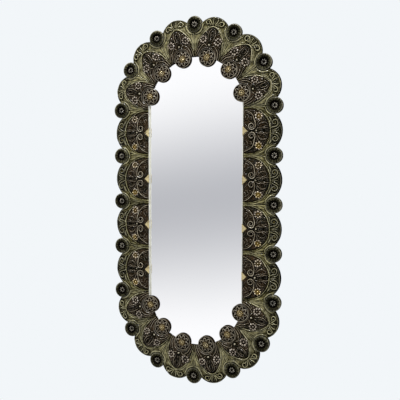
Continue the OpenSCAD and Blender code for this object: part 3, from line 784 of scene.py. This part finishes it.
def linear(red, green, blue):
    """A colour as seen on screen, 0 to 255, as light."""
    parts = [c / 255 for c in (red, green, blue)]
    return (*(c / 12.92 if c <= 0.04045 else ((c + 0.055) / 1.055) ** 2.4 for c in parts), 1.0)


class Nodes:
    """Short names for the nodes and links of a new material, or of a new world."""

    def __init__(self, name, family=bpy.data.materials):
        self.owner = family.new(name)
        self.owner.use_nodes = True
        self.tree = self.owner.node_tree
        self.shader = self.tree.nodes.get("Principled BSDF")

    def feed(self, node, inputs):
        """Sets each number or colour on the input it is for, and links anything else to it."""
        for key, value in inputs.items():
            if isinstance(value, (int, float, tuple)):
                node.inputs[key].default_value = value
            else:
                self.tree.links.new(value, node.inputs[key])

    def add(self, kind, inputs, **settings):
        node = self.tree.nodes.new(kind)
        for key, value in settings.items():
            setattr(node, key, value)
        self.feed(node, inputs)
        return node

    def mask(self, name):
        return self.add("ShaderNodeAttribute", {}, attribute_name=name).outputs["Fac"]

    def geometry(self, what="Position"):
        return self.add("ShaderNodeNewGeometry", {}).outputs[what]

    def noise(self, scale, detail=3.0, roughness=0.55, stretch=None):
        where = self.geometry()
        if stretch:
            where = self.add("ShaderNodeMapping", {"Scale": stretch, "Vector": where}).outputs["Vector"]
        inputs = {"Scale": scale, "Detail": detail, "Roughness": roughness, "Vector": where}
        return self.add("ShaderNodeTexNoise", inputs).outputs["Fac"]

    def span(self, value, low, high, to_low=0.0, to_high=1.0):
        inputs = {"Value": value, "From Min": low, "From Max": high, "To Min": to_low, "To Max": to_high}
        return self.add("ShaderNodeMapRange", inputs).outputs["Result"]

    def math(self, operation, a, b):
        return self.add("ShaderNodeMath", {0: a, 1: b}, operation=operation).outputs[0]

    def times(self, a, b):
        return self.math("MULTIPLY", a, b)

    def mix(self, factor, a, b):
        return self.add("ShaderNodeMix", {0: factor, 6: a, 7: b}, data_type="RGBA").outputs[2]

    def bump(self, height, strength, distance):
        node = self.add("ShaderNodeBump", {"Strength": strength, "Distance": distance, "Height": height})
        self.feed(self.shader, {"Normal": node.outputs["Normal"]})


# The near black of the hollows: glaze gathered there, and painted shade
POOLED_GLAZE_AND_SHADE = linear(13, 11, 7)
PALE_RIDGE = linear(186, 177, 154)
PALE_PETAL = linear(202, 191, 172)
PALE_LIP = linear(196, 190, 156)
OCHRE = linear(104, 92, 34)
GLINT = linear(244, 226, 176)
PEARL = linear(184, 175, 150)


def glaze(name, **colours):
    """Thin and pale over the ridges, partly painted highlight; dark in the hollows, where glaze gathers and
    shade is painted; flecked where it broke in the firing.
    """
    n = Nodes(name)
    tone = {part: linear(*colour) for part, colour in colours.items()}
    patches = n.noise(11, 4)
    mottle = n.noise(85, 3, 0.65)
    speckle = n.noise(230, 2)
    flow = n.noise(40)
    field, light, level, bloom, lustre = map(n.mask, ("field", "light", "level", "bloom", "lustre"))

    # The coats of glaze: mottled olive outside the fields, aubergine in them
    outer = n.mix(n.span(patches, 0.36, 0.64), tone["shade"], tone["olive"])
    outer = n.mix(n.span(mottle, 0.6, 0.42, 0.0, 0.85), outer, tone["shade"])
    outer = n.mix(n.span(flow, 0.5, 0.34, 0.0, 0.75), outer, tone["black"])
    thin = n.times(n.span(flow, 0.54, 0.68, 0.0, 0.6), n.span(level, -0.1, 0.3))
    outer = n.mix(thin, outer, tone["ridge"])
    inner = n.mix(n.span(flow, 0.4, 0.62), tone["deep_aubergine"], tone["aubergine"])
    inner = n.mix(n.mask("core"), inner, tone["black"])
    colour = n.mix(field, outer, inner)
    colour = n.mix(n.mask("dusk"), colour, tone["black"])
    colour = n.mix(n.times(bloom, 0.9), colour, tone["bloom"])

    # What gathers in the hollows, darkened further as painted shade, and what the ridges show, paler partly
    # as painted highlight
    pooled_and_shaded = n.math("ADD", n.span(level, 0.04, -0.34), n.span(mottle, 0.47, 0.3, 0.0, 0.35))
    colour = n.mix(n.math("MINIMUM", pooled_and_shaded, 0.97), colour, POOLED_GLAZE_AND_SHADE)
    raised = n.times(n.span(level, 0.12, 0.75), n.span(mottle, 0.3, 0.55, 0.5))
    # Painted highlight: where the light mask is strong, the ridges take the pale colours, besides glaze
    # worn thin there
    worn = n.times(raised, n.span(light, 0.1, 0.95, 0.1))
    pale = n.times(n.span(light, 0.55, 0.95), n.span(flow, 0.4, 0.62, 0.15))
    tips = n.mix(field, tone["ridge"], n.mix(pale, tone["dim_ridge"], PALE_RIDGE))
    tips = n.mix(bloom, tips, n.mix(n.span(flow, 0.35, 0.55), tone["bloom"], PALE_PETAL))
    colour = n.mix(worn, colour, tips)

    # Touches of other glazes, and painted glints on the gold
    # Pale glaze of the lips; on the side tiles it is partly a painted highlight on the upper side
    colour = n.mix(n.times(n.mask("lip"), n.span(mottle, 0.4, 0.62, 0.15, 1.2)), colour, PALE_LIP)
    colour = n.mix(n.times(n.mask("ochre"), 0.7), colour, OCHRE)
    gilded = n.times(lustre, n.span(level, -0.45, 0.5, 0.1))
    colour = n.mix(n.times(gilded, n.span(flow, 0.36, 0.56, 0.25)), colour, tone["gold"])
    # Painted highlight: glints on the raised gold, where the light mask is strong
    shine = n.times(lustre, n.span(level, 0.35, 0.85))
    colour = n.mix(n.times(shine, light), colour, GLINT)
    n.feed(n.shader, {
        "Base Color": n.mix(n.mask("pearl"), colour, PEARL),
        "Metallic": n.times(lustre, 0.25),
        "Roughness": n.span(speckle, 0.3, 0.7, 0.14, 0.32),
        "Specular IOR Level": n.span(level, 0.4, 0.9, 0.0, 0.55),
    })
    n.bump(n.math("ADD", mottle, n.times(speckle, 0.4)), 0.5, 0.0011)
    return n.owner


def gilt(name, gold, worn, rough, scale):
    """Metal leaf, rubbed through in places."""
    n = Nodes(name)
    patches = n.noise(scale, 5, 0.6)
    n.feed(n.shader, {
        "Base Color": n.mix(n.span(patches, 0.5, 0.72), gold, worn),
        "Metallic": n.span(patches, 0.5, 0.75, 0.75, 0.15),
        "Roughness": n.span(n.noise(scale * 6, 2), 0.3, 0.7, rough - 0.08, rough + 0.12),
    })
    n.bump(patches, 0.3, 0.0006)
    return n.owner


def plywood():
    """Birch faces, and thin layers along the edges."""
    n = Nodes("sealed_plywood")
    grain = n.noise(9, 6, 0.62, stretch=(14.0, 1.0, 0.9))
    face = n.mix(n.span(grain, 0.3, 0.7), linear(150, 112, 74), linear(201, 165, 118))
    waves = {"Scale": 110, "Distortion": 0.6, "Vector": n.geometry()}
    layers = n.add("ShaderNodeTexWave", waves, wave_type="BANDS", bands_direction="Y")
    edge = n.mix(n.span(layers.outputs["Fac"], 0.3, 0.7), linear(96, 66, 40), linear(176, 138, 94))
    parts = n.add("ShaderNodeSeparateXYZ", {0: n.geometry("Normal")})
    flat = n.span(n.math("ABSOLUTE", parts.outputs["Y"], 0.0), 0.5, 0.9)
    n.feed(n.shader, {"Base Color": n.mix(flat, edge, face), "Roughness": 0.58})
    n.bump(grain, 0.25, 0.0006)
    return n.owner


def zinc():
    n = Nodes("zinc_plated_steel")
    spangle = n.add("ShaderNodeTexVoronoi", {"Scale": 260, "Vector": n.geometry()}).outputs["Distance"]
    n.feed(n.shader, {
        "Base Color": n.mix(n.span(spangle, 0.0, 0.8), linear(176, 180, 186), linear(205, 207, 210)),
        "Metallic": 0.9,
        "Roughness": n.span(n.noise(40, 2), 0.3, 0.7, 0.3, 0.5),
    })
    n.bump(n.noise(500, 2, stretch=(1.0, 1.0, 0.05)), 0.15, 0.0002)
    return n.owner


def silvered():
    """Clear mirror, with the faintest clouding."""
    n = Nodes("silvered_glass")
    clouds = n.mix(n.noise(3, 1), linear(246, 247, 249), linear(250, 250, 252))
    n.feed(n.shader, {"Base Color": clouds, "Metallic": 1.0, "Roughness": 0.02})
    return n.owner


# Pieces

def add_object(name, data):
    thing = bpy.data.objects.new(name, data)
    bpy.context.scene.collection.objects.link(thing)
    return thing


def main_pieces():
    glazes = {
        "tile_glaze": glaze(
            "relief_tile_glaze", olive=(140, 133, 88), shade=(82, 77, 45), deep_aubergine=(22, 22, 11),
            aubergine=(62, 47, 28), black=(16, 16, 8), bloom=(132, 120, 106), gold=(180, 148, 66),
            ridge=(178, 172, 130), dim_ridge=(124, 109, 84)),
        "rosette_glaze": glaze(
            "rosette_glaze", olive=(132, 128, 96), shade=(72, 71, 47), deep_aubergine=(36, 35, 24),
            aubergine=(50, 48, 35), black=(14, 13, 9), bloom=(108, 106, 98), gold=(186, 140, 62),
            ridge=(166, 162, 134), dim_ridge=(128, 125, 116)),
        "medallion_glaze": glaze(
            "medallion_glaze", olive=(92, 78, 56), shade=(60, 50, 36), deep_aubergine=(34, 27, 17),
            aubergine=(56, 45, 31), black=(20, 16, 12), bloom=(94, 82, 64), gold=(158, 130, 66),
            ridge=(160, 150, 124), dim_ridge=(178, 168, 146)),
    }

    side_grid = TileGrid(side_outline())
    pocket = [arc(SEAT, MEDALLION_R + POCKET_GAP + off, 0, 360, 260) for off in (0.0, 0.45)]
    end_grid = TileGrid(end_outline(), pocket)

    # The rings of points lie closer together beside a rim's edge
    in_cup = np.arange(0.8, CUP_R - 0.1, 0.7)
    on_rim = np.arange(CUP_R + 0.6, ROSETTE_R - 0.6, 0.7)
    radii = np.concatenate([in_cup, [CUP_R - 0.05, CUP_R + 0.05], on_rim,
                            [ROSETTE_R - 0.35, ROSETTE_R - 0.1, ROSETTE_R]])
    rosette_mesh = turned_mesh("rosette_relief", radii, 160, rosette_shape, SLAB_TOP)
    radii = np.concatenate([np.arange(0.6, MEDALLION_R - 0.8, 0.6),
                            [MEDALLION_R - 0.4, MEDALLION_R - 0.12, MEDALLION_R]])
    medallion_mesh = turned_mesh("medallion_relief", radii, 200, medallion_shape, SEAT_TOP)

    # Stands what is drawn lying on its back up against the wall
    upright = Matrix(((1, 0, 0, 0), (0, 0, -1, 0), (0, 1, 0, 0), (0, 0, 0, 1)))

    def put(mesh, node, height, turn, out, slot):
        mesh.materials.append(glazes[slot])
        mesh.transform(upright @ Matrix.Translation((0, height * MM, 0))
                       @ Matrix.Rotation(math.radians(turn), 4, "Z") @ Matrix.Translation((0, out * MM, 0)))
        piece = add_object("glazed_" + node, mesh)
        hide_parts(node)
        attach(piece, "root")

    # The lower flower of each side tile has more amber glaze in it than the upper one
    for side, word, amber in ((-1, "left", (0.9, 0.3)), (1, "right", (0.3, 0.9))):
        for i in range(1, SIDE_TILES + 1):
            seed = 10 * i + side
            mesh = side_grid.mesh("side_tile_relief", lambda points: side_relief(points, seed, amber))
            node = "side_tile_%s_%d" % (word, i)
            put(mesh, node, END_Z - (i - 0.5) * PITCH, -90 * side, SIGHT, "tile_glaze")
    for side, word in ((1, "top"), (-1, "bottom")):
        for i in range(1, END_TILES + 1):
            turn = 90 - side * (i - 0.5) * WEDGE
            seed = 100 + 10 * i + side
            mesh = end_grid.mesh("end_tile_relief", lambda points: end_relief(points, seed))
            put(mesh, "%s_tile_%d" % (word, i), side * END_Z, turn, SIGHT, "tile_glaze")
            put(medallion_mesh.copy(), "%s_medallion_%d" % (word, i), side * END_Z, turn, MEDALLION_RING,
                "medallion_glaze")
    joints = []
    for side in (1, -1):
        joints += [(side * END_Z, 90 * side - i * WEDGE) for i in range(END_TILES + 1)]
        joints += [(side * (END_Z - i * PITCH), -90 * side) for i in range(1, SIDE_TILES)]
    for i, (height, turn) in enumerate(joints, 1):
        put(rosette_mesh.copy(), "rosette_%d" % i, height, turn, RING, "rosette_glaze")

    metal = zinc()
    finishes = {
        "back_panel": plywood(),
        "mirror_glass": silvered(),
        "liner_sides": gilt("liner_pale_gilt", linear(227, 226, 217), linear(205, 203, 191), 0.4, 40),
        "gilt_darts": gilt("dart_gold_leaf", linear(200, 184, 138), linear(78, 64, 40), 0.34, 90),
        "hanger_plates": metal,
        "hanger_screws": metal,
    }
    for node, material in finishes.items():
        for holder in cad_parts[node].material_slots:
            holder.material = material


# Light, background and camera

BACKGROUND = linear(242, 246, 249)


def seen_colour(n, real, seen):
    """The shader seen for the camera and for what metal and glass show, and real for everything else."""
    path = n.add("ShaderNodeLightPath", {}).outputs
    ray = path["Is Camera Ray"]
    for kind in ("Is Glossy Ray", "Is Transmission Ray"):
        ray = n.math("MAXIMUM", ray, path[kind])
    return n.add("ShaderNodeMixShader", {0: ray, 1: real.outputs[0], 2: seen.outputs[0]}).outputs[0]


def make_world():
    n = Nodes("studio", bpy.data.worlds)
    bpy.context.scene.world = n.owner
    soft = n.tree.nodes["Background"]
    n.feed(soft, {"Color": (1.0, 0.98, 0.95, 1.0), "Strength": 0.22})
    plain = n.add("ShaderNodeBackground", {"Color": BACKGROUND, "Strength": 1.0})
    n.feed(n.tree.nodes["World Output"], {"Surface": seen_colour(n, soft, plain)})


def add_sheet(name, low, high, paint):
    """A flat sheet between two opposite corners, with a material of its own."""
    (left, front, bottom), (right, back, top) = low, high
    corners = [(left, front, bottom), (right, front, bottom), (right, back, top), (left, back, top)]
    mesh = bpy.data.meshes.new(name)
    mesh.from_pydata(corners, [], [(0, 1, 2, 3)])
    n = Nodes(paint)
    mesh.materials.append(n.owner)
    return add_object(name, mesh), n


def make_floor():
    side = 6.0
    floor, n = add_sheet("studio_floor", (-side, -side, 0), (side, side, 0), "studio_floor_paint")
    floor.location.z = -2.7
    n.feed(n.shader, {"Base Color": BACKGROUND, "Roughness": 0.9})
    plain = n.add("ShaderNodeEmission", {"Color": BACKGROUND})
    n.feed(n.tree.nodes["Material Output"], {"Surface": seen_colour(n, n.shader, plain)})


def make_painted_reflection():
    """A glowing sheet far in front of the mirror, seen only in reflections: a painted reflection whose soft
    dark band is what the glass shows.
    """
    width, low, high, far = 3.2, -2.6, 2.9, -3.6
    band_tilt, band_drop, fade_above, fade_below = 0.157, 0.008, 1.42, 1.56
    card, n = add_sheet("painted_reflection_card", (-width, 0, low), (width, 0, high), "painted_reflection_glow")
    card.location = (-2.0, far, 0)
    place = n.add("ShaderNodeSeparateXYZ", {0: n.geometry()}).outputs
    above = n.math("SUBTRACT", n.math("ADD", place["Z"], band_drop), n.times(place["X"], band_tilt))
    upper = n.span(above, 0.0, fade_above)
    lower = n.span(above, 0.0, -fade_below)
    for half in (upper, lower):
        half.node.interpolation_type = "SMOOTHSTEP"
    band = n.mix(n.math("ADD", upper, lower), linear(189, 190, 194), linear(255, 255, 255))
    glow = n.add("ShaderNodeEmission", {"Color": band, "Strength": 1.04})
    clear = n.add("ShaderNodeBsdfTransparent", {})
    glossy = n.add("ShaderNodeLightPath", {}).outputs["Is Glossy Ray"]
    mix = n.add("ShaderNodeMixShader", {0: glossy, 1: clear.outputs[0], 2: glow.outputs[0]})
    n.feed(n.tree.nodes["Material Output"], {"Surface": mix.outputs[0]})


def make_lamp(name, place, size, power):
    """A soft lamp aimed at the middle of the mirror."""
    light = bpy.data.lights.new(name, "AREA")
    light.shape = "RECTANGLE"
    light.size, light.size_y = size
    light.energy = power
    lamp = add_object(name, light)
    lamp.location = place
    middle = Vector((0, 0, 0))
    lamp.rotation_euler = (middle - Vector(place)).to_track_quat("-Z", "Y").to_euler()


def make_camera():
    camera = add_object("photo_camera", bpy.data.cameras.new("photo_camera"))
    right = Vector((0.92992, 0.36777, 0.00278))
    up = Vector((-0.02425, 0.05379, 0.99826))
    back = Vector((0.36697, -0.92837, 0.05893))
    turn = Matrix((right, up, back)).transposed().to_4x4()
    camera.matrix_world = Matrix.Translation((0.93216, -2.32433, 0.15844)) @ turn
    camera.data.lens = 52.499
    camera.data.sensor_width = 36.0
    bpy.context.scene.camera = camera


main_pieces()
make_world()
make_floor()
make_painted_reflection()
make_lamp("key_lamp", (0.0, -2.0, 4.0), (0.7, 0.7), 225)
make_lamp("fill_lamp", (1.8, -2.4, 0.3), (1.0, 1.8), 10)
make_lamp("left_lamp", (-2.2, -2.0, 0.3), (1.0, 1.8), 11)
make_camera()
bpy.context.scene.view_settings.view_transform = "Standard"
